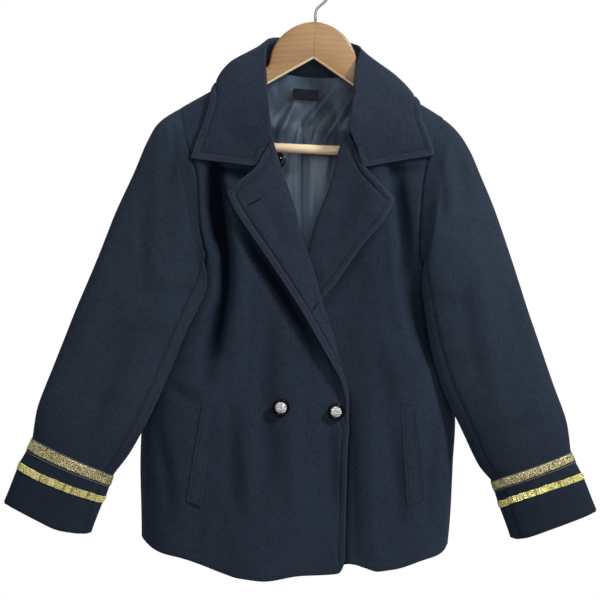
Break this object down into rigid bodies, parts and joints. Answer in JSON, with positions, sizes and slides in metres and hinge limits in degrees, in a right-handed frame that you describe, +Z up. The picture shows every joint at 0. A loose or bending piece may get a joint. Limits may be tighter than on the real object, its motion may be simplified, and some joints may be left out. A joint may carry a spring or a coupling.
{
  "type": "double-breasted coat blazer on a wooden hanger",
  "caption": "Short navy wool double-breasted coat with wide collar and lapels and gold cuff bands, hanging on a wooden hanger with a wire hook.",
  "frame": {"origin": "where the inside of the hook rests on the rail that holds the hanger up", "axes": "+Z up, from the hem to the hook; the fronts face -Y; +X is the viewer's right, the wearer's left"},
  "size_m": [0.859, 0.1107, 0.878],
  "materials": {
    "wool": "felted navy wool with a short nap",
    "lining": "slate satin lining",
    "label": "plain woven tape",
    "gold_band": "gold glitter tape",
    "gold_braid": "metallic gold braid",
    "button": "glossy black rim round a cut-glass face",
    "wood": "clear-lacquered light wood",
    "wire": "bright plated wire"
  },
  "bodies": {
    "root": {"front_right": "wool", "front_left": "wool", "back": "wool", "sleeve_right": "wool", "sleeve_left": "wool", "collar": "wool", "lapel_right": "wool", "lapel_left": "wool", "welt_right": "wool", "welt_left": "wool", "lining_back": "lining", "label": "label", "band_right": "gold_band", "band_left": "gold_band", "braid_right": "gold_braid", "braid_left": "gold_braid", "button_right": "button", "button_left": "button", "button_spare": "button", "hanger_arm_right": "wood", "hanger_arm_left": "wood", "hanger_bar": "wood", "hanger_hook": "wire"}
  },
  "joints": []
}
